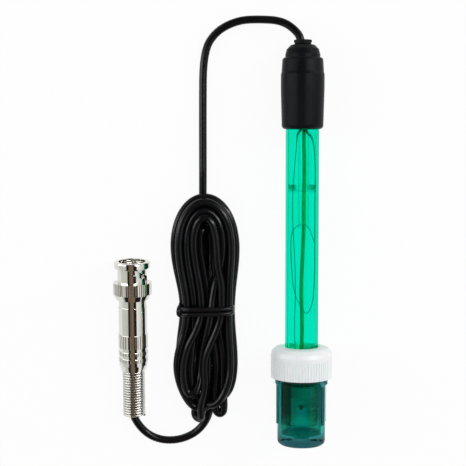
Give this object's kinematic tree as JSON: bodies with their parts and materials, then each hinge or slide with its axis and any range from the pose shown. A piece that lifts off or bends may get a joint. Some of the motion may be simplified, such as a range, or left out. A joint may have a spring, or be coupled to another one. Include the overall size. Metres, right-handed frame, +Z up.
{
  "type": "redox electrode",
  "caption": "Combination redox electrode with a clear gel-filled tube, screw-on storage bottle over the tip, black cap, hanked cord and bayonet plug.",
  "frame": {"origin": "on the table, under the middle of the electrode with its bottle and cap, without the cord and plug", "axes": "+Z up; +Y along the electrode from the bottle towards the cap; +X to the right, away from the plug"},
  "size_m": [0.0796, 0.158, 0.0225],
  "materials": {
    "clear_green": "clear teal-green tube wall",
    "clear_glass": "clear glass",
    "porous": "porous, chalky",
    "platinum": "bright platinum",
    "green_gel": "clear green gel",
    "lead_green": "dark green insulation",
    "silver": "fine bare silver wire",
    "dark_rubber": "dark rubber",
    "black_rubber": "satin black with a blue cast",
    "black_plastic": "satin black",
    "resin": "cast resin",
    "clear_teal": "clear dark teal, gloss",
    "white_plastic": "semi-gloss white",
    "slip_white": "smooth white",
    "nickel": "bright nickel plate",
    "spring_steel": "bright steel",
    "insulator_white": "smooth white",
    "gold": "gold plate",
    "copper": "bare copper",
    "cord_black": "gloss black",
    "tie_black": "gloss black"
  },
  "bodies": {
    "electrode": {"body_tube": "clear_green", "tip_plug": "white_plastic", "junction": "porous", "sensor_stem": "clear_glass", "platinum_tip": "platinum", "seal_plug": "dark_rubber", "reference_tube": "clear_glass", "sensor_lead": "lead_green", "reference_wire": "silver", "ground_wire": "silver", "gel_fill": "green_gel", "cap_sleeve": "black_rubber", "end_cap": "black_plastic", "potting": "resin", "cable_grommet": "black_rubber", "cord_top": "cord_black", "cord_hank": "cord_black", "cord_tail": "cord_black", "hank_tie": "tie_black", "connector_body": "nickel", "face_gasket": "dark_rubber", "insulator": "insulator_white", "centre_pin": "gold", "wave_washer": "spring_steel", "back_body": "nickel", "rear_sleeve": "nickel", "clamp_ferrule": "nickel", "core_wire": "copper", "strain_spring": "spring_steel"},
    "bottle": {"storage_bottle": "clear_teal", "neck_gasket": "dark_rubber", "seal_ring": "dark_rubber"},
    "slip": {"slip_washer": "slip_white"},
    "screw_cap": {"bottle_cap": "white_plastic"},
    "nut_carrier": {"thrust_washer": "nickel"},
    "nut": {"bayonet_nut": "nickel"}
  },
  "joints": [
    {"name": "bottle_pull", "type": "slide", "parent": "electrode", "child": "bottle", "axis": [0, -0.9995, 0.0328], "range_m": [0, 0.035]},
    {"name": "cap_lift", "type": "slide", "parent": "bottle", "child": "slip", "axis": [0, 0.9995, -0.0328], "range_m": [0, 0.0075]},
    {"name": "cap_turn", "type": "hinge", "parent": "slip", "child": "screw_cap", "pos_m": [0, -0.04311, 0.0112], "axis": [0, 0.9995, -0.0328], "range_deg": [0, 1080]},
    {"name": "nut_push", "type": "slide", "parent": "electrode", "child": "nut_carrier", "axis": [0, 0.9981, 0.061], "range_m": [0, 0.0006], "stiffness_N_per_m": 1500, "deforming": ["wave_washer"]},
    {"name": "nut_turn", "type": "hinge", "parent": "nut_carrier", "child": "nut", "pos_m": [-0.0615, -0.01334, 0.00729], "axis": [0, 0.9981, 0.061], "continuous": true}
  ],
  "couplings": [
    {"joint": "cap_lift", "follows": "cap_turn", "m_per_rad": 0.00039789}
  ]
}
